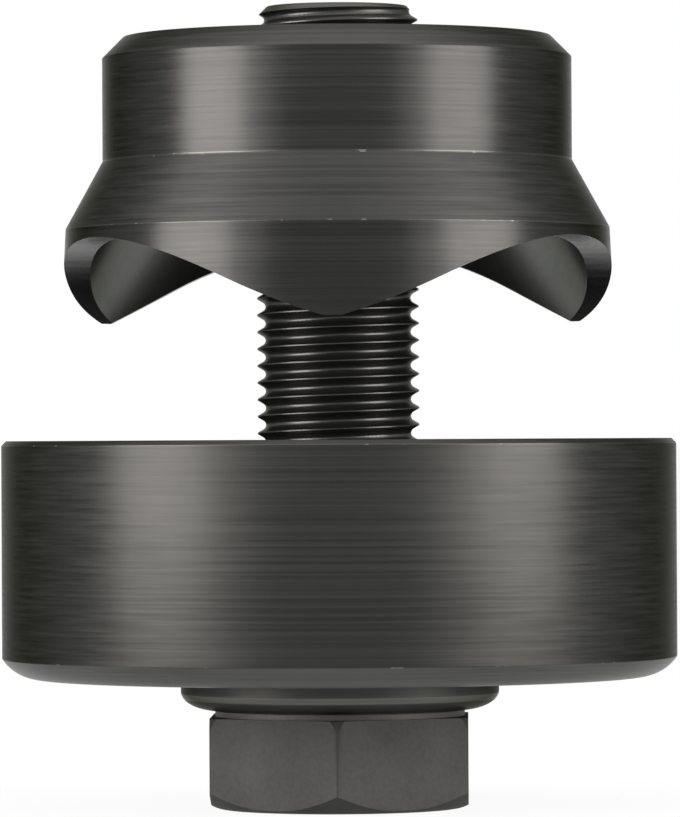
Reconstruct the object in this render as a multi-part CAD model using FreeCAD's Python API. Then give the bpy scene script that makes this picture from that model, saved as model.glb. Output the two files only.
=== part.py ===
import FreeCAD, Part
import math
import os

# Knockout punch for sheet metal, standing on its hex head, punch raised to take a sheet.
# Lengths are in millimetres and angles in degrees. The origin is the centre of the head's foot,
# +Z runs up the draw screw, and one cutting lobe and one corner of the hexagon point along -Y.

# Draw screw
SCREW_DIAMETER = 12.0
SCREW_LENGTH = 52.1          # from the underside of the head to the free end
SCREW_END_CHAMFER = 1.5
HEAD_ACROSS_FLATS = 19.0
HEAD_HEIGHT = 7.3            # with the washer face
WASHER_FACE_RADIUS = 9.25
WASHER_FACE_HEIGHT = 0.45
FOOT_RADIUS = 9.3            # flat foot of the head, inside its lower chamfer
FOOT_CHAMFER_ANGLE = 40.0
COLLAR_CHAMFER_DROP = 0.95   # how far the upper chamfer runs down each corner of the hexagon
COLLAR_CHAMFER_ANGLE = 66.0
CHAMFER_MARGIN = 1.0         # the turned chamfer tool reaches this far past the corners

# Thrust bearing: shaft washer, caged balls, housing washer
SHAFT_WASHER_THICKNESS = 2.8
SHAFT_WASHER_RADIUS = 11.8
SHAFT_WASHER_RIM_WIDTH = 2.6
SHAFT_WASHER_RIM_HEIGHT = 1.4
HOUSING_WASHER_THICKNESS = 1.5
BALL_DIAMETER = 3.0
BALL_COUNT = 14
GROOVE_DEPTH = 0.6
GROOVE_OVERSIZE = 0.1        # groove radius over ball radius
BALL_PLAY = 0.02             # between a ball and the floor of each groove
CAGE_THICKNESS = 1.0
CAGE_WIDTH = 4.0             # from its bore to its rim
POCKET_PLAY = 0.05
WASHER_EDGE = 0.25           # small chamfer on the washers' corners

# Die cup
DIE_DIAMETER = 50.0
DIE_HEIGHT = 17.6
DIE_FLOOR_THICKNESS = 3.8
DIE_HEEL_WIDTH = 2.8
DIE_HEEL_HEIGHT = 1.5
DIE_RIM_CHAMFER = 0.35
DIE_CORNER_RADIUS = 1.0
WASHER_PROUD = 2.4           # shaft washer below the die's back

# Punch
CUT_DIAMETER = 41.0          # over the tips of the lobes
PUNCH_HEIGHT = 21.0
PUNCH_BODY_RADIUS = 17.4
PUNCH_CROWN_CHAMFER = 1.55
FLARE_TOP = 9.2              # from the crown down to the top of the flare
LAND_TOP = 14.2              # from the crown down to the top of the cutting land
LAND_RELIEF = 0.34           # the land is this much smaller at its top than at the tips
LOBE_COUNT = 3
GULLET_DEPTH = 5.95          # from the tips up to the roof of a gullet
GULLET_RADIUS = 26.0         # rounding of a gullet's roof, level from the axis outwards
TIP_FLAT = 0.35              # from the middle of a lobe to the start of its flank
CUTTER_REACH = 10.0          # the gullet cutter reaches this far past the tips
TIP_WALL = 0.5               # wall left at the tips by the dish
DISH_ANGLE = 21.8            # the dish narrows upwards by this half angle
DISH_DEPTH = 8.4
DISH_CORNER_RADIUS = 1.6
BORE_COUNTERSINK = 0.8
SHEET_GAP = 8.85             # from the die's rim up to the tips

# Clearances, all radial unless said
THREAD_PLAY = 0.05           # between the screw and the punch's thread, as plain cylinders
WASHER_BORE_PLAY = 0.05      # shaft washer on the screw
HOUSING_BORE_PLAY = 0.6      # housing washer round the screw
DIE_HOLE_PLAY = 0.5
RECESS_PLAY = 0.25           # shaft washer in the die's recess
HOUSING_SEAT_PLAY = 0.05
CUTTING_CLEARANCE = 0.15     # punch in the die

# Dependent heights
screw_radius = SCREW_DIAMETER / 2
ball_radius = BALL_DIAMETER / 2
screw_end_z = HEAD_HEIGHT + SCREW_LENGTH
race_gap = BALL_DIAMETER - 2 * GROOVE_DEPTH + 2 * BALL_PLAY
shaft_race_z = HEAD_HEIGHT + SHAFT_WASHER_THICKNESS
housing_race_z = shaft_race_z + race_gap
ball_z = shaft_race_z + race_gap / 2
recess_top_z = housing_race_z + HOUSING_WASHER_THICKNESS
die_back_z = HEAD_HEIGHT + WASHER_PROUD
die_floor_z = recess_top_z + DIE_FLOOR_THICKNESS
die_rim_z = die_back_z + DIE_HEIGHT
tip_z = die_rim_z + SHEET_GAP
crown_z = tip_z + PUNCH_HEIGHT
flare_top_z = crown_z - FLARE_TOP
land_top_z = crown_z - LAND_TOP
dish_top_z = tip_z + DISH_DEPTH
gullet_top_z = tip_z + GULLET_DEPTH

# Dependent radii
die_radius = DIE_DIAMETER / 2
cut_radius = CUT_DIAMETER / 2
head_corner_radius = HEAD_ACROSS_FLATS / math.sqrt(3)
land_top_radius = cut_radius - LAND_RELIEF
die_bore_radius = cut_radius + CUTTING_CLEARANCE
recess_radius = SHAFT_WASHER_RADIUS + RECESS_PLAY
housing_washer_radius = recess_radius - HOUSING_SEAT_PLAY
die_hole_radius = screw_radius + DIE_HOLE_PLAY
punch_bore_radius = screw_radius + THREAD_PLAY
groove_radius = ball_radius + GROOVE_OVERSIZE
groove_lift = GROOVE_OVERSIZE - BALL_PLAY    # a groove's centre past the balls' centres
ball_circle_radius = (SHAFT_WASHER_RADIUS + screw_radius) / 2
cage_inner_radius = ball_circle_radius - CAGE_WIDTH / 2
cage_outer_radius = ball_circle_radius + CAGE_WIDTH / 2
dish_tip_radius = cut_radius - TIP_WALL
dish_top_radius = dish_tip_radius - DISH_DEPTH * math.tan(math.radians(DISH_ANGLE))

UP = FreeCAD.Vector(0, 0, 1)
AXIS_FOOT = FreeCAD.Vector(0, 0, 0)


def at(radius, z):
    """Point of a half section, radius out along +X."""
    return FreeCAD.Vector(radius, 0, z)


def straight(*points):
    """Edges that join the points in order."""
    return [Part.LineSegment(a, b).toShape() for a, b in zip(points, points[1:])]


def turned(edges):
    """Solid turned about the axis from the closed half section that the edges make."""
    section = Part.Face(Part.Wire(edges))
    return section.revolve(AXIS_FOOT, UP, 360)


def tangent_arc(start, corner, end, radius):
    """Lines from start and end towards a corner, with an arc of the radius between them."""
    a = (start - corner).normalize()
    b = (end - corner).normalize()
    half = math.acos(a.dot(b)) / 2
    run = radius / math.tan(half)
    middle = (a + b).normalize()
    crest = corner + middle * (radius / math.sin(half) - radius)
    first = corner + a * run
    last = corner + b * run
    arc = Part.Arc(first, crest, last).toShape()
    return straight(start, first) + [arc] + straight(last, end)


def flat_tangent_arc(low, high):
    """Arc that leaves the low point level and bends up to the high point."""
    chord = high - low
    radius = (chord.x ** 2 + chord.z ** 2) / (2 * chord.z)
    turn = math.atan2(chord.x, radius - chord.z)
    middle = at(low.x + radius * math.sin(turn / 2), low.z + radius * (1 - math.cos(turn / 2)))
    return Part.Arc(low, middle, high).toShape()


def quarter_ellipse(low, high):
    """Quarter ellipse that leaves the low point level and reaches the high point upright."""
    centre = at(low.x, high.z)
    ellipse = Part.Ellipse(high, low, centre)
    ends = [ellipse.parameter(low), ellipse.parameter(high)]
    start, stop = min(ends), max(ends)
    near = Part.ArcOfEllipse(ellipse, start, stop).toShape()
    far = Part.ArcOfEllipse(ellipse, stop, start + 2 * math.pi).toShape()
    return near if near.Length < far.Length else far


def hexagon_blank(height):
    """Upright hexagonal bar with a corner along -Y."""
    corners = []
    for step in range(6):
        angle = math.radians(60 * step - 90)
        corners.append(FreeCAD.Vector(math.cos(angle), math.sin(angle), 0) * head_corner_radius)
    corners.append(corners[0])
    return Part.Face(Part.makePolygon(corners)).extrude(UP * height)


def head():
    """Hex head, chamfered at its foot and nicked at its upper corners, with a washer face."""
    hexagon_top = HEAD_HEIGHT - WASHER_FACE_HEIGHT
    envelope_radius = head_corner_radius + CHAMFER_MARGIN
    foot_rise = (envelope_radius - FOOT_RADIUS) * math.tan(math.radians(FOOT_CHAMFER_ANGLE))
    collar_slope = math.tan(math.radians(COLLAR_CHAMFER_ANGLE))
    collar_radius = head_corner_radius - COLLAR_CHAMFER_DROP / collar_slope
    collar_start = hexagon_top - (envelope_radius - collar_radius) * collar_slope
    envelope = turned(straight(
        at(0, 0),
        at(FOOT_RADIUS, 0),
        at(envelope_radius, foot_rise),
        at(envelope_radius, collar_start),
        at(collar_radius, hexagon_top),
        at(0, hexagon_top),
        at(0, 0),
    ))
    washer_face = Part.makeCylinder(WASHER_FACE_RADIUS, WASHER_FACE_HEIGHT, at(0, hexagon_top), UP)
    return hexagon_blank(hexagon_top).common(envelope).fuse(washer_face)


def draw_screw():
    """Head and shank in one piece; the shank is a plain cylinder over its thread."""
    shank = turned(straight(
        at(0, HEAD_HEIGHT - WASHER_FACE_HEIGHT),
        at(screw_radius, HEAD_HEIGHT - WASHER_FACE_HEIGHT),
        at(screw_radius, screw_end_z - SCREW_END_CHAMFER),
        at(screw_radius - SCREW_END_CHAMFER, screw_end_z),
        at(0, screw_end_z),
        at(0, HEAD_HEIGHT - WASHER_FACE_HEIGHT),
    ))
    return head().fuse(shank).removeSplitter()


def ball_groove(centre_z):
    """Ring that cuts a groove for the balls, with its centre at the height."""
    return Part.makeTorus(ball_circle_radius, groove_radius, at(0, centre_z), UP)


def shaft_washer():
    """Lower race: turns with the screw, its rounded rim stands out below the die."""
    bore = screw_radius + WASHER_BORE_PLAY
    rim_foot = at(SHAFT_WASHER_RADIUS - SHAFT_WASHER_RIM_WIDTH, HEAD_HEIGHT)
    rim_side = at(SHAFT_WASHER_RADIUS, HEAD_HEIGHT + SHAFT_WASHER_RIM_HEIGHT)
    edges = straight(at(bore, HEAD_HEIGHT), rim_foot)
    edges.append(quarter_ellipse(rim_foot, rim_side))
    edges += straight(
        rim_side,
        at(SHAFT_WASHER_RADIUS, shaft_race_z - WASHER_EDGE),
        at(SHAFT_WASHER_RADIUS - WASHER_EDGE, shaft_race_z),
        at(bore + WASHER_EDGE, shaft_race_z),
        at(bore, shaft_race_z - WASHER_EDGE),
        at(bore, HEAD_HEIGHT),
    )
    return turned(edges).cut(ball_groove(ball_z + groove_lift))


def housing_washer():
    """Upper race: pressed against the roof of the die's recess."""
    bore = screw_radius + HOUSING_BORE_PLAY
    edges = straight(
        at(bore, housing_race_z + WASHER_EDGE),
        at(bore + WASHER_EDGE, housing_race_z),
        at(housing_washer_radius - WASHER_EDGE, housing_race_z),
        at(housing_washer_radius, housing_race_z + WASHER_EDGE),
        at(housing_washer_radius, recess_top_z),
        at(bore, recess_top_z),
        at(bore, housing_race_z + WASHER_EDGE),
    )
    return turned(edges).cut(ball_groove(ball_z - groove_lift))


def on_ball_circle(index):
    """Centre of one ball."""
    angle = math.radians(360 * index / BALL_COUNT)
    return FreeCAD.Vector(
        ball_circle_radius * math.cos(angle), ball_circle_radius * math.sin(angle), ball_z)


def ball_cage():
    """Flat ring with a drilled pocket for each ball."""
    foot = ball_z - CAGE_THICKNESS / 2
    ring = Part.makeCylinder(cage_outer_radius, CAGE_THICKNESS, at(0, foot), UP)
    ring = ring.cut(Part.makeCylinder(cage_inner_radius, CAGE_THICKNESS, at(0, foot), UP))
    for index in range(BALL_COUNT):
        centre = on_ball_circle(index)
        pocket_foot = FreeCAD.Vector(centre.x, centre.y, foot)
        ring = ring.cut(Part.makeCylinder(ball_radius + POCKET_PLAY, CAGE_THICKNESS, pocket_foot, UP))
    return ring


def die():
    """Cup with a square cutting rim, a rounded heel, a hole for the screw and a bearing recess."""
    heel_foot = at(die_radius - DIE_HEEL_WIDTH, die_back_z)
    heel_side = at(die_radius, die_back_z + DIE_HEEL_HEIGHT)
    edges = straight(at(recess_radius, die_back_z), heel_foot)
    edges.append(flat_tangent_arc(heel_foot, heel_side))
    edges += straight(
        heel_side,
        at(die_radius, die_rim_z - DIE_RIM_CHAMFER),
        at(die_radius - DIE_RIM_CHAMFER, die_rim_z),
        at(die_bore_radius, die_rim_z),
    )
    edges += tangent_arc(
        at(die_bore_radius, die_rim_z),
        at(die_bore_radius, die_floor_z),
        at(die_hole_radius, die_floor_z),
        DIE_CORNER_RADIUS,
    )
    edges += straight(
        at(die_hole_radius, die_floor_z),
        at(die_hole_radius, recess_top_z),
        at(recess_radius, recess_top_z),
        at(recess_radius, die_back_z),
    )
    return turned(edges)


def punch_blank():
    """Turned blank: crown, body, flare, relieved land, dished foot and countersunk bore."""
    bore_mouth = punch_bore_radius + BORE_COUNTERSINK
    edges = straight(
        at(bore_mouth, crown_z),
        at(PUNCH_BODY_RADIUS - PUNCH_CROWN_CHAMFER, crown_z),
        at(PUNCH_BODY_RADIUS, crown_z - PUNCH_CROWN_CHAMFER),
        at(PUNCH_BODY_RADIUS, flare_top_z),
        at(land_top_radius, land_top_z),
        at(cut_radius, tip_z),
        at(dish_tip_radius, tip_z),
    )
    edges += tangent_arc(
        at(dish_tip_radius, tip_z),
        at(dish_top_radius, dish_top_z),
        at(bore_mouth, dish_top_z),
        DISH_CORNER_RADIUS,
    )
    edges += straight(
        at(bore_mouth, dish_top_z),
        at(punch_bore_radius, dish_top_z + BORE_COUNTERSINK),
        at(punch_bore_radius, crown_z - BORE_COUNTERSINK),
        at(bore_mouth, crown_z),
    )
    return turned(edges)


def gullet_cutter(direction):
    """Milling cutter for one gullet: a level round roof with flanks that run down to the tips."""
    reach = cut_radius + CUTTER_REACH
    flank_end = cut_radius * math.sin(math.radians(180 / LOBE_COUNT)) - TIP_FLAT
    # The roof's rounding is limited by its flanks: at the fullest radius it ends at the tips.
    fullest_radius = (flank_end ** 2 + GULLET_DEPTH ** 2) / (2 * GULLET_DEPTH)
    roof_radius = min(GULLET_RADIUS, fullest_radius)
    centre_z = gullet_top_z - roof_radius
    rise = tip_z - centre_z
    flank_turn = math.acos(min(1, roof_radius / math.hypot(flank_end, rise)))
    steepness = math.atan2(rise, flank_end) + flank_turn
    shoulder = roof_radius * math.cos(steepness)
    shoulder_z = centre_z + roof_radius * math.sin(steepness)
    eave_z = tip_z - (reach - flank_end) / math.tan(steepness)
    left = FreeCAD.Vector(0, -shoulder, shoulder_z)
    right = FreeCAD.Vector(0, shoulder, shoulder_z)
    roof = Part.Arc(left, FreeCAD.Vector(0, 0, gullet_top_z), right).toShape()
    gable = [roof] + straight(
        right,
        FreeCAD.Vector(0, reach, eave_z),
        FreeCAD.Vector(0, reach, eave_z - PUNCH_HEIGHT / 2),
        FreeCAD.Vector(0, -reach, eave_z - PUNCH_HEIGHT / 2),
        FreeCAD.Vector(0, -reach, eave_z),
        left,
    )
    cutter = Part.Face(Part.Wire(gable)).extrude(FreeCAD.Vector(reach, 0, 0))
    cutter.rotate(AXIS_FOOT, UP, direction)
    return cutter


def punch():
    """Punch with its lobes left standing between the gullets; the first lobe points along -Y."""
    solid = punch_blank()
    pitch = 360 / LOBE_COUNT
    for index in range(LOBE_COUNT):
        solid = solid.cut(gullet_cutter(pitch * (index + 0.5) - 90))
    return solid


def ball(index):
    """One steel ball."""
    return Part.makeSphere(ball_radius, on_ball_circle(index))


nodes = {
    "draw_screw": draw_screw(),
    "shaft_washer": shaft_washer(),
    "housing_washer": housing_washer(),
    "ball_cage": ball_cage(),
    "die": die(),
    "punch": punch(),
}
for number in range(BALL_COUNT):
    nodes["ball_{:02d}".format(number + 1)] = ball(number)

os.makedirs("parts", exist_ok=True)
for name, shape in nodes.items():
    if len(shape.Solids) == 1:
        shape = shape.Solids[0]
    shape.exportStep("parts/" + name + ".step")
    box = shape.BoundBox
    print(
        name, len(shape.Solids), shape.isValid(), round(shape.Volume, 2),
        [round(v, 2) for v in (box.XMin, box.YMin, box.ZMin, box.XMax, box.YMax, box.ZMax)])
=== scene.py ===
"""Looks of a knockout punch for sheet metal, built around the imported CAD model.

Lengths are in millimetres where nothing else is said. The meshes are in metres, in the CAD frame: the
origin is the centre of the hex head's foot, +Z runs up the draw screw, and one cutting lobe and one
corner of the hexagon point along -Y.
"""

from __future__ import annotations

import logging
import math
from dataclasses import dataclass
from enum import Enum
from functools import cache
from typing import Callable, Sequence

import bpy
from mathutils import Matrix, Vector

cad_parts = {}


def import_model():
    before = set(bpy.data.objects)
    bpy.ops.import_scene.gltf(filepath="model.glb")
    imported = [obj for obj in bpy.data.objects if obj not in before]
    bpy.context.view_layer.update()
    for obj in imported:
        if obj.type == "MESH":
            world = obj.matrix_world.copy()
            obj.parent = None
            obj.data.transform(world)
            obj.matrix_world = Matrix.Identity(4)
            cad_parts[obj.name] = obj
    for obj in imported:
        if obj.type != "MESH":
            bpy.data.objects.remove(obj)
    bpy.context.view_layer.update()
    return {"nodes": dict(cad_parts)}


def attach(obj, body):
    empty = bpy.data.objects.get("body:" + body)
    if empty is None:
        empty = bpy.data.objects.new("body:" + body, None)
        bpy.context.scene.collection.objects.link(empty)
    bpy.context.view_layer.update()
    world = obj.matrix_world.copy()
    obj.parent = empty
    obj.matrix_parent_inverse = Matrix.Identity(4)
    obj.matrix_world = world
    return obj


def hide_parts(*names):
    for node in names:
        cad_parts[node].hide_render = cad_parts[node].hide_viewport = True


LOG = logging.getLogger("knockout_punch")

MM = 0.001
FULL_TURN = 2 * math.pi
WELD = 2e-6
CUT_SLACK = 1e-8
PHOTO_WIDTH = 680
PHOTO_HEIGHT = 817

# Nearly all values of a noise pattern lie between these two.
NOISE_LOW = 0.3
NOISE_HIGH = 0.7

Piece = bpy.types.Object
Point = tuple[float, float]


class Body(Enum):
    """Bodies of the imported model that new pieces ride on."""

    DIE = "die_body"
    SCREW = "screw_body"
    PUNCH = "punch_body"


class Joining(Enum):
    """Ways to combine a piece with a tool body."""

    CUT = "DIFFERENCE"
    ADD = "UNION"
    TRIM = "INTERSECT"


class Slot(Enum):
    """Names of the record's material slots."""

    SCREW = "blackened_screw"
    DIE = "blackened_die"
    PUNCH = "blackened_punch"
    RACE = "race_steel"


def linear(code: str) -> tuple[float, float, float, float]:
    """Turn an sRGB hex code into a linear colour.

    Args:
        code: Six hex digits with a leading hash.

    Returns:
        Red, green, blue and alpha for a colour socket.
    """
    channels = [int(code[i:i + 2], 16) / 255 for i in (1, 3, 5)]
    straight = [c / 12.92 if c <= 0.04045 else ((c + 0.055) / 1.055) ** 2.4 for c in channels]
    return straight[0], straight[1], straight[2], 1.0


def add_node(tree: bpy.types.NodeTree, kind: str, inputs: dict[str | int, object] | None = None,
             **settings: str) -> bpy.types.Node:
    """Add a shader node with its settings, and fill or link its inputs.

    Args:
        tree: Node tree that the node joins.
        kind: Blender's name for the node type.
        inputs: Value or output socket for each input, by name or number.
        settings: Attributes to set on the node.

    Returns:
        The new node.
    """
    node = tree.nodes.new(kind)
    for key, value in settings.items():
        setattr(node, key, value)
    for key, value in (inputs or {}).items():
        if isinstance(value, bpy.types.NodeSocket):
            tree.links.new(value, node.inputs[key])
        else:
            node.inputs[key].default_value = value
    return node


def new_material(name: str) -> bpy.types.Material:
    """Make an empty node material.

    Args:
        name: Name of the material.

    Returns:
        The material, with no nodes in its tree.
    """
    material = bpy.data.materials.new(name)
    material.use_nodes = True
    material.node_tree.nodes.clear()
    return material


@dataclass(frozen=True)
class TurnedBlackOxide:
    """Black-oxided steel straight from the lathe.

    The oxide is a thin dark skin that keeps the turning marks: fine rings round the axis that smear
    a reflection across themselves, so a soft lamp shows as one upright band with faint streaks. Real
    marks lie about 0.1 mm apart, too fine to show, so the rings are drawn coarser.

    Each ring's shade drifts slowly on its way round, and edge_tint colours what the metal reflects
    at a grazing angle. Where bare names a colour, the oxide is rubbed through in nicks that show
    bare steel, which catch the eye as bright specks.
    """

    name: str
    dark: str
    light: str
    roughness: float
    anisotropy: float = 0.55
    ring_spacing: float = 0.26
    ring_depth: float = 0.0012
    blotch: float = 7.0
    edge_tint: str = "#ACACA9"
    bare: str = ""
    nick: float = 0.9
    nick_start: float = 0.66
    nick_full: float = 0.72
    drift: float = 0.05
    drift_skew: float = 0.012
    blotch_share: float = 0.25
    dark_below: float = 0.36
    light_above: float = 0.64
    gloss_spread: float = 0.03

    def material(self) -> bpy.types.Material:
        """Build the node material.

        Returns:
            The material, patterned on Object coordinates.
        """
        made = new_material(self.name)
        tree = made.node_tree
        place = add_node(tree, "ShaderNodeTexCoord").outputs["Object"]
        flat = add_node(
            tree, "ShaderNodeVectorMath", {0: place, 1: (1.0, 1.0, 0.0)}, operation="MULTIPLY")
        radius = add_node(tree, "ShaderNodeVectorMath", {0: flat.outputs["Vector"]}, operation="LENGTH")
        parts = add_node(tree, "ShaderNodeSeparateXYZ", {"Vector": place})
        slow = add_node(
            tree, "ShaderNodeMath",
            {0: parts.outputs["X"], 1: self.drift_skew, 2: parts.outputs["Y"]},
            operation="MULTIPLY_ADD")
        around = add_node(
            tree, "ShaderNodeMath", {0: slow.outputs[0], 1: self.drift}, operation="MULTIPLY")
        section = add_node(
            tree, "ShaderNodeCombineXYZ",
            {"X": radius.outputs["Value"], "Y": parts.outputs["Z"], "Z": around.outputs[0]})
        rings = add_node(
            tree, "ShaderNodeTexNoise",
            {"Vector": section.outputs["Vector"], "Scale": 1 / (self.ring_spacing * MM), "Detail": 2.0,
             "Roughness": 0.55})
        blotches = add_node(
            tree, "ShaderNodeTexNoise",
            {"Vector": place, "Scale": 1 / (self.blotch * MM), "Detail": 4.0, "Roughness": 0.55})
        # A mix node's inputs 2 and 3 take numbers, and 6 and 7 colours.
        blend = add_node(
            tree, "ShaderNodeMix",
            {0: self.blotch_share, 2: rings.outputs["Fac"], 3: blotches.outputs["Fac"]},
            data_type="FLOAT")
        ramp = add_node(tree, "ShaderNodeValToRGB", {"Fac": blend.outputs[0]})
        ramp.color_ramp.elements[0].position = self.dark_below
        ramp.color_ramp.elements[0].color = linear(self.dark)
        ramp.color_ramp.elements[1].position = self.light_above
        ramp.color_ramp.elements[1].color = linear(self.light)
        gloss = add_node(
            tree, "ShaderNodeMapRange",
            {"Value": rings.outputs["Fac"], "From Min": NOISE_LOW, "From Max": NOISE_HIGH,
             "To Min": self.roughness - self.gloss_spread,
             "To Max": self.roughness + self.gloss_spread})
        bump = add_node(
            tree, "ShaderNodeBump",
            {"Height": rings.outputs["Fac"], "Distance": self.ring_depth * MM, "Strength": 1.0})
        axis = add_node(
            tree, "ShaderNodeVectorMath", {0: (0.0, 0.0, 1.0), 1: place}, operation="CROSS_PRODUCT")
        along = add_node(
            tree, "ShaderNodeVectorTransform",
            {"Vector": axis.outputs["Vector"]},
            vector_type="VECTOR", convert_from="OBJECT", convert_to="WORLD")
        colour = ramp.outputs["Color"]
        if self.bare:
            nicks = add_node(
                tree, "ShaderNodeTexNoise",
                {"Vector": place, "Scale": 1 / (self.nick * MM), "Detail": 1.0})
            rubbed = add_node(
                tree, "ShaderNodeMapRange",
                {"Value": nicks.outputs["Fac"], "From Min": self.nick_start,
                 "From Max": self.nick_full})
            worn = add_node(
                tree, "ShaderNodeMix",
                {0: rubbed.outputs["Result"], 6: colour, 7: linear(self.bare)}, data_type="RGBA")
            colour = worn.outputs[2]
        surface = add_node(
            tree, "ShaderNodeBsdfPrincipled",
            {"Base Color": colour, "Metallic": 1.0, "Roughness": gloss.outputs["Result"],
             "Normal": bump.outputs["Normal"], "Anisotropic": self.anisotropy,
             "Anisotropic Rotation": 0.25, "Tangent": along.outputs["Vector"],
             "Specular Tint": linear(self.edge_tint)})
        add_node(tree, "ShaderNodeOutputMaterial", {"Surface": surface.outputs["BSDF"]})
        return made


@dataclass(frozen=True)
class MottledBlackOxide:
    """Black-oxided steel with no turning marks: forged, rolled, milled or pressed.

    Fine pits and wider clouds break up the dark skin, so it looks even from afar and grainy close
    by. Real pits are about 0.1 mm across and are drawn coarser, so that they show.
    """

    name: str
    dark: str
    light: str
    roughness: float
    pit: float = 0.35
    pit_depth: float = 0.006
    metallic: float = 0.6
    edge_tint: str = "#A0A09E"
    cloud_in_pits: float = 12.0
    cloud_share: float = 0.5
    dark_below: float = 0.35
    light_above: float = 0.65

    def material(self) -> bpy.types.Material:
        """Build the node material.

        Returns:
            The material, patterned on Object coordinates.
        """
        made = new_material(self.name)
        tree = made.node_tree
        place = add_node(tree, "ShaderNodeTexCoord").outputs["Object"]
        pits = add_node(
            tree, "ShaderNodeTexNoise",
            {"Vector": place, "Scale": 1 / (self.pit * MM), "Detail": 5.0, "Roughness": 0.65})
        clouds = add_node(
            tree, "ShaderNodeTexNoise",
            {"Vector": place, "Scale": 1 / (self.cloud_in_pits * self.pit * MM), "Detail": 3.0})
        blend = add_node(
            tree, "ShaderNodeMix",
            {0: self.cloud_share, 2: pits.outputs["Fac"], 3: clouds.outputs["Fac"]}, data_type="FLOAT")
        ramp = add_node(tree, "ShaderNodeValToRGB", {"Fac": blend.outputs[0]})
        ramp.color_ramp.elements[0].position = self.dark_below
        ramp.color_ramp.elements[0].color = linear(self.dark)
        ramp.color_ramp.elements[1].position = self.light_above
        ramp.color_ramp.elements[1].color = linear(self.light)
        bump = add_node(
            tree, "ShaderNodeBump",
            {"Height": pits.outputs["Fac"], "Distance": self.pit_depth * MM, "Strength": 1.0})
        surface = add_node(
            tree, "ShaderNodeBsdfPrincipled",
            {"Base Color": ramp.outputs["Color"], "Metallic": self.metallic,
             "Roughness": self.roughness, "Normal": bump.outputs["Normal"],
             "Specular Tint": linear(self.edge_tint)})
        add_node(tree, "ShaderNodeOutputMaterial", {"Surface": surface.outputs["BSDF"]})
        return made


@dataclass(frozen=True)
class BrightMetal:
    """Bare metal with a fine even finish, whose gloss varies a little from grain to grain.

    The grain is drawn coarser than real, so that it shows.
    """

    name: str
    dark: str
    light: str
    roughness: float
    grain: float
    gloss_spread: float = 0.2

    def material(self) -> bpy.types.Material:
        """Build the node material.

        Returns:
            The material, patterned on Object coordinates.
        """
        made = new_material(self.name)
        tree = made.node_tree
        place = add_node(tree, "ShaderNodeTexCoord").outputs["Object"]
        grain = add_node(
            tree, "ShaderNodeTexNoise",
            {"Vector": place, "Scale": 1 / (self.grain * MM), "Detail": 4.0})
        ramp = add_node(tree, "ShaderNodeValToRGB", {"Fac": grain.outputs["Fac"]})
        ramp.color_ramp.elements[0].position = NOISE_LOW
        ramp.color_ramp.elements[0].color = linear(self.dark)
        ramp.color_ramp.elements[1].position = NOISE_HIGH
        ramp.color_ramp.elements[1].color = linear(self.light)
        gloss = add_node(
            tree, "ShaderNodeMapRange",
            {"Value": grain.outputs["Fac"], "To Min": self.roughness * (1 - self.gloss_spread),
             "To Max": self.roughness * (1 + self.gloss_spread)})
        surface = add_node(
            tree, "ShaderNodeBsdfPrincipled",
            {"Base Color": ramp.outputs["Color"], "Metallic": 1.0,
             "Roughness": gloss.outputs["Result"]})
        add_node(tree, "ShaderNodeOutputMaterial", {"Surface": surface.outputs["BSDF"]})
        return made


Finish = TurnedBlackOxide | MottledBlackOxide | BrightMetal

# Black oxide on thin edge lines and at the flare root: colour painted lighter, partly wear and partly a
# painted highlight, with a few bright nicks of bare steel where the oxide is worn through.
WORN_EDGE_AND_PAINTED_HIGHLIGHT = TurnedBlackOxide("black_oxide_worn_and_painted_highlight", "#40413E", "#484945", 0.28, bare="#747572")

# Ground bearing steel: pale and evenly bright.
GROUND_RACE = BrightMetal("bearing_steel_ground", "#8C8D8F", "#A2A3A5", 0.25, grain=0.4)

# Lapped bearing steel: a near mirror.
LAPPED_BALL = BrightMetal("bearing_steel_lapped", "#A4A5A7", "#B4B5B7", 0.08, grain=1.0)

# Stamped brass: dull yellow with a soft sheen.
STAMPED_CAGE = BrightMetal("brass_stamped", "#A98B4C", "#BC9C58", 0.35, grain=0.6)


class DieFace(Enum):
    """Kinds of face on the die, each with its finish."""

    # Turned black oxide, a little duller than the punch: two wide soft bands with streaks.
    WALL = TurnedBlackOxide("black_oxide_die", "#30312F", "#3B3C3A", 0.4)
    # Turned heel and back: greyer than the wall.
    HEEL = TurnedBlackOxide("black_oxide_heel", "#4C4D4B", "#575856", 0.38, edge_tint="#E0E0DE")
    # Bored black oxide: dark, with rings on the cup's floor.
    INSIDE = TurnedBlackOxide("black_oxide_inside", "#353633", "#40413D", 0.34)
    # Thin lines at the heel's top edge and the rim chamfer: wear, with a lighter colour painted as a
    # highlight.
    RUBBED = WORN_EDGE_AND_PAINTED_HIGHLIGHT


class PunchFace(Enum):
    """Kinds of face on the punch, each with its finish."""

    # Finely turned black oxide: near black between two sharp upright bands.
    BODY = TurnedBlackOxide("black_oxide_turned", "#2E2F2E", "#393A38", 0.34)
    # More coarsely turned flare and crown: softer bands.
    FLARE = TurnedBlackOxide("black_oxide_flare", "#333433", "#3F403E", 0.38)
    # Cutting land turned smooth: the darkest and glossiest wall.
    LAND = TurnedBlackOxide("black_oxide_land", "#2C2D2C", "#373836", 0.31)
    # Dish: a lighter grey than the turned body, glossy, so it shows a clear grey reflection.
    DISH = MottledBlackOxide(
        "black_oxide_dish", "#646663", "#6F706D", 0.24, pit=0.5, pit_depth=0.001, metallic=1.0)
    # Milled gullets: near black face on and bright at a grazing angle.
    MILLED = MottledBlackOxide(
        "black_oxide_milled", "#121211", "#191917", 0.26, pit=0.5, pit_depth=0.002, metallic=1.0,
        edge_tint="#FFFFFF")
    # Thin lines at the flare root, a painted highlight, and at the land's top edge, wear with a painted
    # highlight.
    RUBBED = WORN_EDGE_AND_PAINTED_HIGHLIGHT


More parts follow.
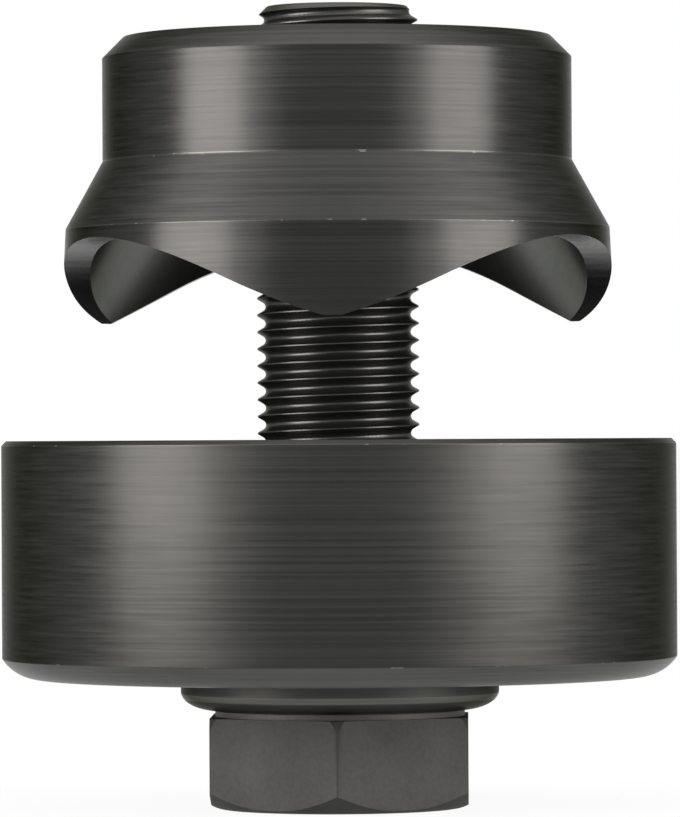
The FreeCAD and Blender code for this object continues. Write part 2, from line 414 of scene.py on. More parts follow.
class ScrewFace(Enum):
    """Kinds of face on the draw screw, each with its finish."""

    # Forged black oxide: matt dark grey with a fine grain and no clear reflection.
    HEAD = MottledBlackOxide("black_oxide_forged", "#343533", "#40413F", 0.6)
    # Rolled black oxide: smooth, so each crest of the thread shows a bright line.
    THREAD = MottledBlackOxide(
        "black_oxide_rolled", "#3A3C3A", "#444543", 0.3, pit=0.4, pit_depth=0.001, metallic=0.87)
    # Turned black oxide on the end, greyer and duller than the punch: its own turned finish, with
    # colour painted lighter for the light from above on its upward faces.
    END = TurnedBlackOxide("black_oxide_turned_end_painted_light", "#444542", "#4E4F4B", 0.45)
    # Washer face under the race: matt, and painted lighter than the head to offset the race's shade on
    # it, a painted pool of light.
    WASHER = MottledBlackOxide("black_oxide_washer_face_painted_light", "#565753", "#60615D", 0.65)


class RaceFace(Enum):
    """Kinds of face on the visible race, each with its finish."""

    # Turned bearing steel painted dark, a painted shade for the die's shadow on the race: dull, with
    # soft bands.
    RING = TurnedBlackOxide("bearing_steel_painted_shade", "#3C3D3B", "#464744", 0.45)
    # Smoother shoulder of its rim, picked by the way its faces point: a lighter line painted as a
    # highlight, the floor's reflection.
    SHOULDER = TurnedBlackOxide("bearing_steel_painted_highlight", "#51534F", "#5B5C58", 0.32)


@cache
def material_of(finish: Finish) -> bpy.types.Material:
    """Material of a finish, made the first time it is asked for.

    Args:
        finish: Finish to make.

    Returns:
        The one material of that finish.
    """
    return finish.material()


def at(radius: float, height: float) -> Point:
    """Point of a half section in millimetres: distance from the axis and height."""
    return radius, height


def arc_between(start: Point, end: Point, centre: Point, steps: int) -> list[Point]:
    """Points on an arc from start to end, the short way round, both ends included.

    Args:
        start: First point.
        end: Last point.
        centre: Centre of the arc.
        steps: Number of chords.

    Returns:
        The points in order.
    """
    first = math.atan2(start[1] - centre[1], start[0] - centre[0])
    last = math.atan2(end[1] - centre[1], end[0] - centre[0])
    turn = (last - first + math.pi) % FULL_TURN - math.pi
    near = math.dist(start, centre)
    far = math.dist(end, centre)
    points = []
    for step in range(steps + 1):
        share = step / steps
        reach = near + (far - near) * share
        angle = first + turn * share
        points.append(at(centre[0] + reach * math.cos(angle), centre[1] + reach * math.sin(angle)))
    return points


@dataclass(frozen=True)
class Ease:
    """Rounding of one corner of a section."""

    radius: float
    chords: int = 2


def rounded(before: Point, corner: Point, after: Point, ease: Ease) -> list[Point]:
    """Corner of a section eased with a tangent arc.

    Args:
        before: Neighbour before the corner.
        corner: Corner to round.
        after: Neighbour after the corner.
        ease: Rounding of the corner.

    Returns:
        Points that replace the corner.
    """
    middle = Vector(corner)
    a = (Vector(before) - middle).normalized()
    b = (Vector(after) - middle).normalized()
    half = a.angle(b) / 2
    run = ease.radius / math.tan(half)
    centre = middle + (a + b).normalized() * (ease.radius / math.sin(half))
    first = middle + a * run
    last = middle + b * run
    return arc_between(tuple(first), tuple(last), tuple(centre), ease.chords)


def eased(points: Sequence[Point], easing: dict[int, Ease]) -> list[Point]:
    """Section with some of its corners rounded.

    Args:
        points: Corners of the closed section in order.
        easing: Rounding of each corner that has one, by its place in points.

    Returns:
        The section with arcs in place of those corners.
    """
    result = []
    for index, corner in enumerate(points):
        if index in easing:
            after = points[(index + 1) % len(points)]
            result += rounded(points[index - 1], corner, after, easing[index])
        else:
            result.append(corner)
    return result


def edit(piece: Piece, mode: str = "VERT") -> None:
    """Select the piece alone, open it in edit mode and deselect its mesh.

    Args:
        piece: Piece to open.
        mode: VERT or EDGE, for what is selected next.
    """
    pick(piece)
    bpy.ops.object.mode_set(mode="EDIT")
    bpy.ops.mesh.select_mode(type=mode)
    bpy.ops.mesh.select_all(action="DESELECT")


def pick(piece: Piece) -> None:
    """Select the piece alone and make it the active one.

    Args:
        piece: Piece to select.
    """
    bpy.ops.object.select_all(action="DESELECT")
    piece.select_set(True)
    bpy.context.view_layer.objects.active = piece


def leave_edit() -> None:
    """Go back to object mode."""
    bpy.ops.object.mode_set(mode="OBJECT")


def tidy_shell() -> None:
    """Weld the open mesh in edit mode and point its faces outwards."""
    bpy.ops.mesh.select_all(action="SELECT")
    bpy.ops.mesh.remove_doubles(threshold=WELD)
    bpy.ops.mesh.normals_make_consistent(inside=False)
    bpy.ops.mesh.select_all(action="DESELECT")


def section_piece(name: str, points: Sequence[Point], closed: bool = True) -> Piece:
    """Draw a half section in the XZ plane by extruding one vertex from point to point.

    Args:
        name: Name of the new piece.
        points: Points of the section in millimetres.
        closed: Whether the last point joins the first.

    Returns:
        The piece, an outline of edges.
    """
    bpy.ops.object.select_all(action="DESELECT")
    first = points[0]
    bpy.ops.mesh.primitive_plane_add(size=MM, location=(first[0] * MM, 0, first[1] * MM))
    piece = bpy.context.object
    piece.name = name
    bpy.ops.object.transform_apply(location=True, rotation=True, scale=True)
    edit(piece)
    bpy.ops.mesh.select_all(action="SELECT")
    bpy.ops.mesh.merge(type="CENTER")
    route = list(points[1:]) + ([first] if closed else [])
    here = first
    for target in route:
        step = ((target[0] - here[0]) * MM, 0, (target[1] - here[1]) * MM)
        bpy.ops.mesh.extrude_vertices_move(TRANSFORM_OT_translate={"value": step})
        here = target
    bpy.ops.mesh.select_all(action="SELECT")
    bpy.ops.mesh.remove_doubles(threshold=WELD)
    leave_edit()
    return piece


def turned_piece(name: str, points: Sequence[Point], steps: int = 256) -> Piece:
    """Spin a half section round the axis.

    Args:
        name: Name of the new piece.
        points: Half section in millimetres, closed or with both ends on the axis.
        steps: Number of facets round the axis.

    Returns:
        The closed, welded piece.
    """
    on_axis = points[0][0] == 0 and points[-1][0] == 0
    piece = section_piece(name, points, closed=not on_axis)
    edit(piece)
    bpy.ops.mesh.select_all(action="SELECT")
    bpy.ops.mesh.spin(steps=steps, angle=FULL_TURN, center=(0, 0, 0), axis=(0, 0, 1))
    tidy_shell()
    leave_edit()
    return piece


def apply_modifier(piece: Piece, kind: str, settings: dict[str, object]) -> None:
    """Add a modifier to the piece and apply it.

    Args:
        piece: Piece to change.
        kind: Blender's name for the modifier type.
        settings: Attributes to set on the modifier.
    """
    pick(piece)
    bpy.ops.object.modifier_add(type=kind)
    modifier = piece.modifiers[-1]
    for key, value in settings.items():
        setattr(modifier, key, value)
    bpy.ops.object.modifier_apply(modifier=modifier.name)


def combine(piece: Piece, tool: Piece, joining: Joining) -> None:
    """Cut, join or trim the piece with a tool body, and remove the tool.

    Args:
        piece: Piece to change.
        tool: Closed body that is used up.
        joining: How the two are combined.
    """
    apply_modifier(piece, "BOOLEAN", {
        "operation": joining.value, "object": tool, "solver": "EXACT", "material_mode": "TRANSFER"})
    mesh = tool.data
    bpy.data.objects.remove(tool)
    bpy.data.meshes.remove(mesh)


def smooth(piece: Piece, degrees: float = 28) -> None:
    """Shade the piece smooth, with its sharp edges kept.

    Args:
        piece: Piece to shade.
        degrees: Angle between faces over which an edge stays sharp.
    """
    pick(piece)
    bpy.ops.object.shade_smooth_by_angle(angle=math.radians(degrees))


def dress(piece: Piece, kinds: Sequence[Enum],
          choose: Callable[[Vector, Vector], Enum] | None = None) -> None:
    """Give the piece its finishes, one for each kind of face.

    Args:
        piece: Piece to dress.
        kinds: Kinds of face in slot order, each with its finish as its value.
        choose: Kind of a face from its centre, in millimetres, and its normal. Without it the
            whole piece is of the first kind.
    """
    piece.data.materials.clear()
    for kind in kinds:
        piece.data.materials.append(material_of(kind.value))
    for face in piece.data.polygons:
        kind = choose(face.center / MM, face.normal) if choose else kinds[0]
        face.material_index = kinds.index(kind)


def report(piece: Piece, body: Body, slot: Slot, *nodes: str) -> None:
    """Hand the piece to the frame and log it.

    Args:
        piece: Finished piece.
        body: Body that it rides on.
        slot: Material slot of the record. Not used.
        nodes: CAD nodes that it stands for.
    """
    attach(piece, body.value)
    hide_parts(*nodes)
    LOG.info("%s: %d faces, rides on %s", piece.name, len(piece.data.polygons), body.value)


@dataclass
class Thread:
    """Fine right-hand thread shared by the draw screw and the punch."""

    major_radius: float = 6.0
    minor_radius: float = 5.38
    pitch: float = 1.25
    flank_angle: float = 60.0
    crest_half: float = 0.07
    crest_ease: float = 0.03
    root_round: float = 0.4
    root_steps: int = 5
    crest_at: float = 37.15
    spare_turns: int = 2
    steps: int = 96

    def section(self, play: float) -> list[Point]:
        """Open section of one pitch, from crest to crest.

        Args:
            play: How much further out the thread lies than the screw's own.

        Returns:
            Points with their height counted from the first crest.
        """
        crest = self.major_radius + play
        root = self.minor_radius + play
        shoulder = crest - self.crest_ease
        bend = math.radians(self.flank_angle)
        flank_end = root + self.root_round * (1 - math.cos(bend))
        flank_foot = self.crest_half + (shoulder - flank_end) / math.tan(bend)
        first = [
            at(crest, 0.0),
            at(crest, self.crest_half - self.crest_ease),
            at(shoulder, self.crest_half),
        ]
        for step in range(self.root_steps + 1):
            turn = bend * (1 - step / self.root_steps)
            first.append(at(
                root + self.root_round * (1 - math.cos(turn)),
                flank_foot + self.root_round * (math.sin(bend) - math.sin(turn))))
        first[-1] = at(root, self.pitch / 2)
        second = [at(radius, self.pitch - height) for radius, height in reversed(first[:-1])]
        return first + second

    def rod(self, name: str, low: float, high: float, play: float = 0.0) -> Piece:
        """Closed threaded rod between two heights, with the thread in phase with the screw's.

        Args:
            name: Name of the new piece.
            low: Height of the lower end.
            high: Height of the upper end.
            play: How much further out the thread lies than the screw's own.

        Returns:
            The rod, flat at both ends.
        """
        first_turn = math.floor((low - self.crest_at) / self.pitch) - self.spare_turns
        turns = math.ceil((high - low) / self.pitch) + 2 * self.spare_turns
        start = self.crest_at + first_turn * self.pitch
        outline = [at(radius, start + height) for radius, height in self.section(play)]
        piece = section_piece(name, outline, closed=False)
        apply_modifier(piece, "SCREW", {
            "axis": "Z", "angle": FULL_TURN, "screw_offset": self.pitch * MM, "iterations": turns,
            "steps": self.steps, "render_steps": self.steps, "use_merge_vertices": True,
            "merge_threshold": WELD, "use_smooth_shade": False})
        edit(piece)
        for height, keep_above in ((low, True), (high, False)):
            bpy.ops.mesh.select_all(action="SELECT")
            bpy.ops.mesh.bisect(
                plane_co=(0, 0, height * MM), plane_no=(0, 0, 1), use_fill=True,
                clear_inner=keep_above, clear_outer=not keep_above, threshold=CUT_SLACK)
        tidy_shell()
        leave_edit()
        return piece


@dataclass
class Die:
    """Die cup with its square cutting rim, rounded heel and bearing recess."""

    radius: float = 25.0
    back: float = 9.7
    rim: float = 27.3
    bore: float = 20.65
    floor: float = 17.24
    hole: float = 6.5
    recess: float = 12.05
    recess_top: float = 13.44
    heel_width: float = 2.8
    heel_height: float = 1.5
    heel_steps: int = 14
    rim_chamfer: float = 0.35
    floor_corner: float = 1.0
    easing: float = 0.1
    cutting_edge: float = 0.03
    edge_reach: float = 0.09
    margin: float = 0.01

    def section(self) -> list[Point]:
        """Closed half section of the cup.

        Returns:
            Points in millimetres.
        """
        heel_foot = at(self.radius - self.heel_width, self.back)
        heel_side = at(self.radius, self.back + self.heel_height)
        sweep = (self.heel_width ** 2 + self.heel_height ** 2) / (2 * self.heel_height)
        heel = arc_between(heel_foot, heel_side, at(heel_foot[0], self.back + sweep), self.heel_steps)
        heel_end = rounded(heel[-2], heel[-1], at(self.radius, self.rim), Ease(self.easing))
        soft = Ease(self.easing)
        chamfer = Ease(self.easing, chords=1)
        walls = eased([
            heel_end[-1],
            at(self.radius, self.rim - self.rim_chamfer),
            at(self.radius - self.rim_chamfer, self.rim),
            at(self.bore, self.rim),
            at(self.bore, self.floor),
            at(self.hole, self.floor),
            at(self.hole, self.recess_top),
            at(self.recess, self.recess_top),
            at(self.recess, self.back),
            heel[0],
        ], {1: soft, 2: soft, 3: Ease(self.cutting_edge, chords=1),
            4: Ease(self.floor_corner, chords=8), 5: chamfer, 6: chamfer, 8: soft})
        return heel[:-1] + heel_end + walls[1:-1]

    def zone(self, centre: Vector, normal: Vector) -> DieFace:
        """Kind of a face of the die.

        Args:
            centre: Centre of the face in millimetres.
            normal: Normal of the face.

        Returns:
            The kind, which the face's place alone settles.
        """
        radius = math.hypot(centre.x, centre.y)
        if radius < self.bore + 2 * self.margin:
            return DieFace.HEEL if centre.z < self.back + self.margin else DieFace.INSIDE
        # The heel's top edge and the rim chamfer get thin lines of the worn finish: wear, painted
        # lighter as a highlight.
        edges = (self.back + self.heel_height, self.rim - self.rim_chamfer)
        if radius > self.radius - self.rim_chamfer and any(
                abs(centre.z - edge) < self.edge_reach for edge in edges):
            return DieFace.RUBBED
        return DieFace.HEEL if centre.z < self.back + self.heel_height else DieFace.WALL

    def build(self) -> None:
        """Turn, dress and hand over the die."""
        cup = turned_piece("die_cup", self.section())
        dress(cup, list(DieFace), self.zone)
        smooth(cup)
        report(cup, Body.DIE, Slot.DIE, "die")


@dataclass
class Punch:
    """Three-lobed punch with its flare, cutting land, dished foot and tapped bore."""

    body_radius: float = 17.4
    crown: float = 57.15
    crown_chamfer: float = 1.55
    flare_top: float = 47.95
    flare_root: float = 0.35
    land_top: float = 42.95
    land_top_radius: float = 20.16
    land_edge: float = 0.2
    cut_radius: float = 20.5
    tip: float = 36.15
    tip_wall: float = 0.5
    tip_flat: float = 0.35
    dish_top: float = 44.55
    dish_angle: float = 21.8
    dish_corner: float = 1.6
    bore: float = 5.48
    countersink: float = 1.37
    easing: float = 0.1
    lobes: int = 3
    gullet_top: float = 42.1
    gullet_radius: float = 26.0
    gullet_steps: int = 24
    gullet_reach: float = 10.0
    thread_play: float = 0.06
    tap_overrun: float = 0.5
    painted_highlight_root: float = 0.3
    wear_and_highlight_edge: float = 0.5
    margin: float = 0.01

    def blank(self) -> Piece:
        """Turn the blank before its gullets are milled.

        Returns:
            The closed blank.
        """
        dish_foot = self.cut_radius - self.tip_wall
        slope = math.tan(math.radians(self.dish_angle))
        dish_head = dish_foot - (self.dish_top - self.tip) * slope
        mouth = self.bore + self.countersink
        soft = Ease(self.easing)
        return turned_piece("punch_body", eased([
            at(mouth, self.crown),
            at(self.body_radius - self.crown_chamfer, self.crown),
            at(self.body_radius, self.crown - self.crown_chamfer),
            at(self.body_radius, self.flare_top),
            at(self.land_top_radius, self.land_top),
            at(self.cut_radius, self.tip),
            at(dish_foot, self.tip),
            at(dish_head, self.dish_top),
            at(mouth, self.dish_top),
            at(self.bore, self.dish_top + self.countersink),
            at(self.bore, self.crown - self.countersink),
        ], {0: soft, 1: soft, 2: soft, 3: Ease(self.flare_root, chords=4),
            4: Ease(self.land_edge, chords=3), 7: Ease(self.dish_corner, chords=10), 8: soft}))

    def gullet_tool(self, direction: float) -> Piece:
        """Make the milling body for one gullet.

        Its round roof is level from the axis outwards and a flank runs from each side of it down
        to the tips.

        Args:
            direction: Bearing of the gullet in degrees from +X.

        Returns:
            The closed tool body.
        """
        reach = self.cut_radius + self.gullet_reach
        flank_end = self.cut_radius * math.sin(math.pi / self.lobes) - self.tip_flat
        centre = self.gullet_top - self.gullet_radius
        rise = self.tip - centre
        span = math.hypot(flank_end, rise)
        shoulder = math.atan2(rise, flank_end) + math.acos(self.gullet_radius / span)
        eave = self.tip - (reach - flank_end) / math.tan(shoulder)
        gable = [at(-reach, eave)]
        for step in range(self.gullet_steps + 1):
            turn = math.pi - shoulder - (math.pi - 2 * shoulder) * step / self.gullet_steps
            gable.append(at(
                self.gullet_radius * math.cos(turn), centre + self.gullet_radius * math.sin(turn)))
        foot = eave - (self.crown - self.tip) / 2
        gable += [at(reach, eave), at(reach, foot), at(-reach, foot)]
        tool = section_piece("gullet_tool", gable)
        edit(tool)
        bpy.ops.mesh.select_all(action="SELECT")
        bpy.ops.mesh.edge_face_add()
        bpy.ops.mesh.extrude_region_move(TRANSFORM_OT_translate={"value": (0, -reach * MM, 0)})
        tidy_shell()
        leave_edit()
        tool.data.transform(Matrix.Rotation(math.radians(direction + 90), 4, "Z"))
        return tool

    def zone(self, centre: Vector, normal: Vector) -> PunchFace:
        """Kind of a turned face of the punch.

        Args:
            centre: Centre of the face in millimetres.
            normal: Normal of the face.

        Returns:
            The kind. The lighter lines above and below the flare are painted highlights, with wear on
            the land's edge.
        """
        radius = math.hypot(centre.x, centre.y)
        outwards = (centre.x * normal.x + centre.y * normal.y) > 0
        below_crown = centre.z < self.crown - self.margin
        if below_crown and (radius < self.body_radius - self.crown_chamfer or not outwards):
            return PunchFace.DISH
        if centre.z > self.crown - self.crown_chamfer:
            return PunchFace.FLARE
        # A thin line on the concave flare root, painted lighter: a painted highlight.
        if abs(centre.z - self.flare_top) < self.flare_root * self.painted_highlight_root:
            return PunchFace.RUBBED
        if centre.z > self.flare_top:
            return PunchFace.BODY
        # A thin line on the land's top edge, painted lighter: wear and a painted highlight.
        if abs(centre.z - self.land_top) < self.land_edge * self.wear_and_highlight_edge:
            return PunchFace.RUBBED
        return PunchFace.FLARE if centre.z > self.land_top else PunchFace.LAND

    def build(self, thread: Thread) -> None:
        """Turn, tap, mill and dress the punch.

        Args:
            thread: Thread of the draw screw.
        """
        blank = self.blank()
        dress(blank, list(PunchFace), self.zone)
        tap = thread.rod(
            "tap", self.dish_top - self.tap_overrun, self.crown + self.tap_overrun, self.thread_play)
        dress(tap, [PunchFace.DISH])
        combine(blank, tap, Joining.CUT)
        # The gullets lie midway between the lobes, and one lobe points along -Y.
        for index in range(self.lobes):
            tool = self.gullet_tool(360 / self.lobes * (index + 0.5) - 90)
            dress(tool, [PunchFace.MILLED])
            combine(blank, tool, Joining.CUT)
        smooth(blank)
        report(blank, Body.PUNCH, Slot.PUNCH, "punch")


@dataclass
class DrawScrew:
    """Hex-headed draw screw with its fine thread."""

    across_flats: float = 19.0
    head_height: float = 7.3
    washer_face_radius: float = 9.25
    washer_face_height: float = 0.45
    washer_face_edge: float = 0.1
    foot_radius: float = 9.3
    foot_angle: float = 40.0
    foot_round: float = 2.0
    collar_drop: float = 0.9
    collar_angle: float = 72.0
    corner_round: float = 0.12
    chamfer_margin: float = 1.0
    bar_margin: float = 2.0
    shank_radius: float = 5.9
    shank_fillet: float = 0.3
    shank_end_edge: float = 0.4
    head_lap: float = 0.5
    thread_lap: float = 0.6
    thread_foot: float = 17.6
    end: float = 59.4
    end_chamfer: float = 0.8
    end_dish: float = 0.35
    end_dish_radius: float = 3.35
    end_fall: float = 0.02
    cutter_margin: float = 1.0
    end_face_slope: float = 0.1
    margin: float = 0.01

    def head(self) -> Piece:
        """Model the hexagon with its chamfers.

        Returns:
            The closed head.
        """
        top = self.head_height - self.washer_face_height
        corner = self.across_flats / math.sqrt(3)
        bpy.ops.object.select_all(action="DESELECT")
        bpy.ops.mesh.primitive_cylinder_add(
            vertices=6, radius=corner * MM, depth=(top + self.bar_margin) * MM,
            location=(0, 0, top / 2 * MM))
        head = bpy.context.object
        head.name = "draw_screw_body"
        bpy.ops.object.transform_apply(location=True, rotation=True, scale=True)
        edit(head, "EDGE")
        leave_edit()
        for edge in head.data.edges:
            a, b = (head.data.vertices[i].co for i in edge.vertices)
            edge.select = (a - b).xy.length < WELD
        bpy.ops.object.mode_set(mode="EDIT")
        bpy.ops.mesh.bevel(offset=self.corner_round * MM, segments=4, affect="EDGES")
        leave_edit()
        wide = corner + self.chamfer_margin
        foot_rise = (wide - self.foot_radius) * math.tan(math.radians(self.foot_angle))
        slope = math.tan(math.radians(self.collar_angle))
        collar = corner - self.collar_drop / slope
        envelope = eased([
            at(0, 0),
            at(self.foot_radius, 0),
            at(wide, foot_rise),
            at(wide, top - (wide - collar) * slope),
            at(collar, top),
            at(0, top),
        ], {1: Ease(self.foot_round, chords=6)})
        combine(head, turned_piece("head_envelope", envelope), Joining.TRIM)
        return head

    def shank(self, thread: Thread) -> Piece:
        """Model the washer face, plain shank and threaded length.

        Args:
            thread: Thread to cut.

        Returns:
            The closed shank.
        """
        top = self.head_height
        low = top - self.washer_face_height - self.head_lap
        plain_top = self.thread_foot + self.thread_lap
        plain = turned_piece("shank", eased([
            at(0, low),
            at(self.washer_face_radius, low),
            at(self.washer_face_radius, top),
            at(self.shank_radius, top),
            at(self.shank_radius, plain_top),
            at(0, plain_top),
        ], {2: Ease(self.washer_face_edge), 3: Ease(self.shank_fillet, chords=4),
            4: Ease(self.shank_end_edge, chords=3)}))
        rod = thread.rod("rod", self.thread_foot, self.end)
        reach = thread.major_radius + self.cutter_margin
        cone = turned_piece("end_chamfer", [
            at(0, self.thread_foot - self.cutter_margin),
            at(reach, self.thread_foot - self.cutter_margin),
            at(reach, self.end - self.end_chamfer - self.cutter_margin),
            at(thread.major_radius - self.end_chamfer, self.end),
            at(self.end_dish_radius, self.end - self.end_fall),
            at(0, self.end - self.end_dish),
        ])
        combine(rod, cone, Joining.TRIM)
        combine(plain, rod, Joining.ADD)
        return plain

    def zone(self, centre: Vector, normal: Vector) -> ScrewFace:
        """Kind of a face of the screw.

        Args:
            centre: Centre of the face in millimetres.
            normal: Normal of the face.

        Returns:
            The kind. THREAD stands for the plain shank too.
        """
        if centre.z < self.head_height - self.washer_face_height + self.margin:
            return ScrewFace.HEAD
        # The washer face takes the colour painted lighter against the race's shade.
        if centre.z < self.head_height + self.margin:
            return ScrewFace.WASHER
        # Upward faces of the end take the colour painted lighter for the light from above.
        if centre.z > self.end - self.end_chamfer and normal.z > self.end_face_slope:
            return ScrewFace.END
        return ScrewFace.THREAD

    def build(self, thread: Thread) -> None:
        """Model, dress and hand over the draw screw.

        Args:
            thread: Thread of the screw.
        """
        screw = self.head()
        combine(screw, self.shank(thread), Joining.ADD)
        dress(screw, list(ScrewFace), self.zone)
        smooth(screw)
        report(screw, Body.SCREW, Slot.SCREW, "draw_screw")


@dataclass
class ThrustBearing:
    """Ball thrust bearing between the screw's head and the die."""

    bore: float = 6.05
    radius: float = 11.8
    foot: float = 7.3
    race: float = 10.1
    rim_width: float = 2.6
    rim_height: float = 1.4
    rim_steps: int = 14
    edge: float = 0.25
    ball_circle: float = 8.9
    ball_height: float = 11.02
    groove_radius: float = 1.6
    groove_lift: float = 0.08
    groove_steps: int = 6
    painted_highlight_slopes: tuple[float, float] = (-0.62, -0.2)
    smooth_under: float = 40.0

    def lower_race(self) -> Piece:
        """Turn the shaft washer with its rounded rim and ball groove.

        Returns:
            The closed washer.
        """
        rim = []
        for step in range(self.rim_steps + 1):
            angle = math.pi / 2 * step / self.rim_steps
            rim.append(at(
                self.radius - self.rim_width + self.rim_width * math.sin(angle),
                self.foot + self.rim_height - self.rim_height * math.cos(angle)))
        middle = at(self.ball_circle, self.ball_height + self.groove_lift)
        half = math.sqrt(self.groove_radius ** 2 - (middle[1] - self.race) ** 2)
        bottom = at(self.ball_circle, middle[1] - self.groove_radius)
        outer_lip = at(self.ball_circle + half, self.race)
        inner_lip = at(self.ball_circle - half, self.race)
        outer_half = arc_between(outer_lip, bottom, middle, self.groove_steps)
        inner_half = arc_between(bottom, inner_lip, middle, self.groove_steps)
        points = [at(self.bore, self.foot)] + rim + [
            at(self.radius, self.race - self.edge),
            at(self.radius - self.edge, self.race),
        ] + outer_half + inner_half[1:] + [
            at(self.bore + self.edge, self.race),
            at(self.bore, self.race - self.edge),
        ]
        return turned_piece("shaft_washer_race", points)

    def zone(self, centre: Vector, normal: Vector) -> RaceFace:
        """Kind of a face of the visible race.

        Args:
            centre: Centre of the face in millimetres.
            normal: Normal of the face.

        Returns:
            The painted highlight on the steeper part of the rounded rim, and the painted shade
            elsewhere.
        """
        # Faces on the rim that slope down and out get the painted highlight; all others get the painted
        # shade.
        low, high = self.painted_highlight_slopes
        on_rim = centre.z < self.foot + self.rim_height
        return RaceFace.SHOULDER if on_rim and low < normal.z < high else RaceFace.RING

    def build(self, nodes: dict[str, Piece]) -> None:
        """Build the visible race, and dress the hidden CAD pieces.

        Args:
            nodes: CAD nodes by name.
        """
        washer = self.lower_race()
        dress(washer, list(RaceFace), self.zone)
        smooth(washer, self.smooth_under)
        report(washer, Body.SCREW, Slot.RACE, "shaft_washer")
        for name, node in nodes.items():
            if name == "housing_washer":
                dress_node(node, GROUND_RACE)
            elif name == "ball_cage":
                dress_node(node, STAMPED_CAGE)
            elif name.startswith("ball_"):
                dress_node(node, LAPPED_BALL)


def dress_node(node: Piece, finish: Finish) -> None:
    """Give a CAD node one finish all over.

    Args:
        node: CAD node, whose mesh is kept.
        finish: Finish of the whole node.
    """
    node.data.materials.clear()
    node.data.materials.append(material_of(finish))
    LOG.info("%s: CAD mesh kept, dressed in %s", node.name, finish.name)


@dataclass(frozen=True)
class SoftBox:
    """Lamp with a plain rectangular face that looks at the tool. Its lengths are in metres.

    The bearing is in degrees round from the camera, positive towards +X, and the rise in degrees
    above the horizon. The radiance is the brightness of its face, where 1 is white.
    """

    name: str
    bearing: float
    rise: float
    width: float
    height: float
    radiance: float
    distance: float = 0.9
    aim_height: float = 0.03

    def hang(self, colour: tuple[float, float, float]) -> None:
        """Add the lamp to the scene.

        Args:
            colour: Linear colour of its light.
        """
        turn = math.radians(self.bearing)
        lift = math.radians(self.rise)
        away = Vector((
            math.sin(turn) * math.cos(lift), -math.cos(turn) * math.cos(lift), math.sin(lift)))
        bpy.ops.object.select_all(action="DESELECT")
        bpy.ops.object.light_add(
            type="AREA", location=away * self.distance + Vector((0, 0, self.aim_height)))
        lamp = bpy.context.object
        lamp.name = self.name
        lamp.rotation_mode = "QUATERNION"
        lamp.rotation_quaternion = (-away).to_track_quat("-Z", "Y")
        lamp.data.shape = "RECTANGLE"
        lamp.data.size = self.width
        lamp.data.size_y = self.height
        lamp.data.energy = self.radiance * math.pi * self.width * self.height
        lamp.data.color = colour


SOFT_BOXES = (
    SoftBox("left_box", bearing=-62, rise=8, width=0.55, height=0.6, radiance=12.0),
    SoftBox("right_box", bearing=64, rise=8, width=0.55, height=0.6, radiance=10.2),
    SoftBox("left_inner_box", bearing=-38, rise=8, width=0.24, height=0.6, radiance=2.6),
    SoftBox("right_inner_box", bearing=40, rise=8, width=0.24, height=0.6, radiance=2.3),
    SoftBox("left_high_box", bearing=-76, rise=46, width=0.55, height=0.4, radiance=2.2),
    SoftBox("right_high_box", bearing=76, rise=46, width=0.55, height=0.4, radiance=2.0),
    SoftBox("top_box", bearing=0, rise=82, width=1.0, height=0.8, radiance=1.8),
)


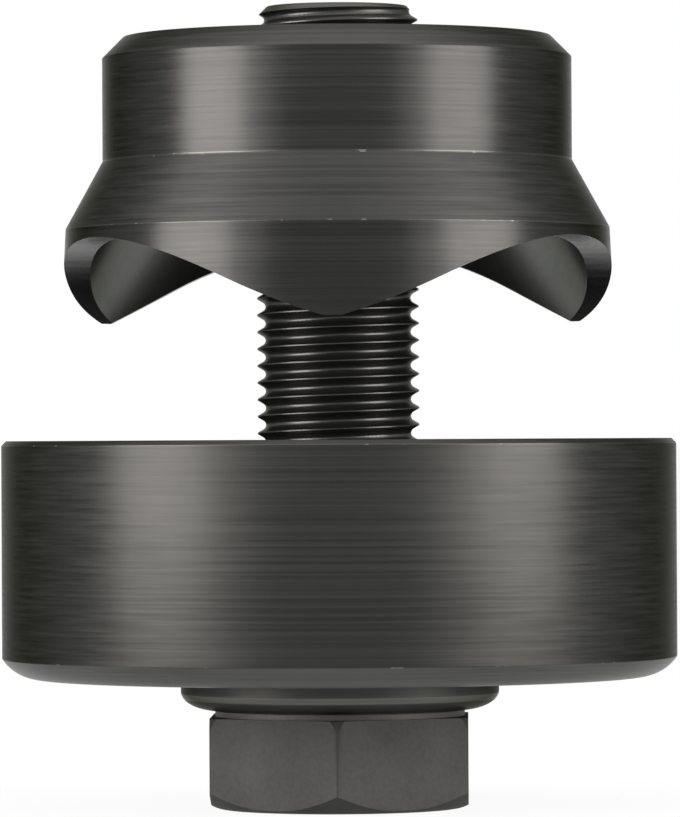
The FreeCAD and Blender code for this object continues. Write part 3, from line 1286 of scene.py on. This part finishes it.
@dataclass
class Studio:
    """Camera, floor, world and lamps. The floor's size and the camera's reach are in metres."""

    camera_distance: float = 482.0
    camera_height: float = 27.2
    camera_bearing: float = 1.15
    aim_height: float = 29.6
    aim_side: float = 0.11
    roll: float = 0.3
    focal_pixels: float = 6500.0
    sensor: float = 36.0
    nearest: float = 0.02
    furthest: float = 100.0
    floor_size: float = 60.0
    floor_white_share: float = 0.93
    fill_level: float = 0.3
    lamp_colour: tuple[float, float, float] = (1.0, 0.91, 0.92)

    def camera(self) -> None:
        """Set the camera to the photograph's viewpoint."""
        bearing = math.radians(self.camera_bearing)
        side = Vector((math.cos(bearing), math.sin(bearing), 0))
        away = Vector((math.sin(bearing), -math.cos(bearing), 0))
        spot = (away * self.camera_distance + Vector((0, 0, self.camera_height))) * MM
        aim = (side * self.aim_side + Vector((0, 0, self.aim_height))) * MM
        bpy.ops.object.select_all(action="DESELECT")
        bpy.ops.object.camera_add(location=spot)
        camera = bpy.context.object
        camera.name = "photo_camera"
        turn = (aim - spot).to_track_quat("-Z", "Y")
        lean = Matrix.Rotation(math.radians(-self.roll), 3, "Z").to_quaternion()
        camera.rotation_mode = "QUATERNION"
        camera.rotation_quaternion = turn @ lean
        camera.data.sensor_width = self.sensor
        camera.data.lens = self.focal_pixels / max(PHOTO_WIDTH, PHOTO_HEIGHT) * self.sensor
        camera.data.clip_start = self.nearest
        camera.data.clip_end = self.furthest
        bpy.context.scene.camera = camera

    def world(self) -> None:
        """White world for the camera and reflections, a softer level for the fill light."""
        world = bpy.data.worlds.new("white_room")
        bpy.context.scene.world = world
        world.use_nodes = True
        tree = world.node_tree
        tree.nodes.clear()
        path = add_node(tree, "ShaderNodeLightPath")
        seen = add_node(
            tree, "ShaderNodeMath",
            {0: path.outputs["Is Camera Ray"], 1: path.outputs["Is Glossy Ray"]}, operation="MAXIMUM")
        plain = add_node(
            tree, "ShaderNodeMath",
            {0: seen.outputs[0], 1: path.outputs["Is Transmission Ray"]}, operation="MAXIMUM")
        fill = add_node(
            tree, "ShaderNodeBackground", {"Color": linear("#FFFFFF"), "Strength": self.fill_level})
        white = add_node(tree, "ShaderNodeBackground", {"Color": linear("#FFFFFF"), "Strength": 1.0})
        mixed = add_node(
            tree, "ShaderNodeMixShader", {0: plain.outputs[0], 1: fill.outputs[0], 2: white.outputs[0]})
        add_node(tree, "ShaderNodeOutputWorld", {"Surface": mixed.outputs[0]})

    def floor(self) -> None:
        """Pale floor that shows white to the camera and keeps the object's shadow."""
        bpy.ops.object.select_all(action="DESELECT")
        bpy.ops.mesh.primitive_plane_add(size=self.floor_size, location=(0, 0, 0))
        floor = bpy.context.object
        floor.name = "floor"
        made = new_material("matt_white_card")
        tree = made.node_tree
        path = add_node(tree, "ShaderNodeLightPath")
        card = add_node(tree, "ShaderNodeBsdfDiffuse", {"Color": linear("#F4F4F4")})
        lit = add_node(tree, "ShaderNodeEmission", {"Color": linear("#FFFFFF"), "Strength": 1.0})
        seen = add_node(
            tree, "ShaderNodeMath",
            {0: path.outputs["Is Camera Ray"], 1: path.outputs["Is Glossy Ray"]}, operation="MAXIMUM")
        share = add_node(
            tree, "ShaderNodeMath",
            {0: seen.outputs[0], 1: self.floor_white_share}, operation="MULTIPLY")
        mixed = add_node(
            tree, "ShaderNodeMixShader", {0: share.outputs[0], 1: card.outputs[0], 2: lit.outputs[0]})
        add_node(tree, "ShaderNodeOutputMaterial", {"Surface": mixed.outputs[0]})
        floor.data.materials.append(made)

    def build(self) -> None:
        """Set the camera, world, floor and lamps."""
        self.camera()
        self.world()
        self.floor()
        for box in SOFT_BOXES:
            box.hang(self.lamp_colour)
        LOG.info("studio set")


def main() -> None:
    """Build the studio and every piece, in order."""
    logging.basicConfig(level=logging.INFO, format="%(name)s: %(message)s")
    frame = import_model()
    scene = bpy.context.scene
    scene.view_settings.view_transform = "Standard"
    Studio().build()
    thread = Thread()
    Die().build()
    Punch().build(thread)
    DrawScrew().build(thread)
    ThrustBearing().build(frame["nodes"])


if __name__ == "__main__":
    main()
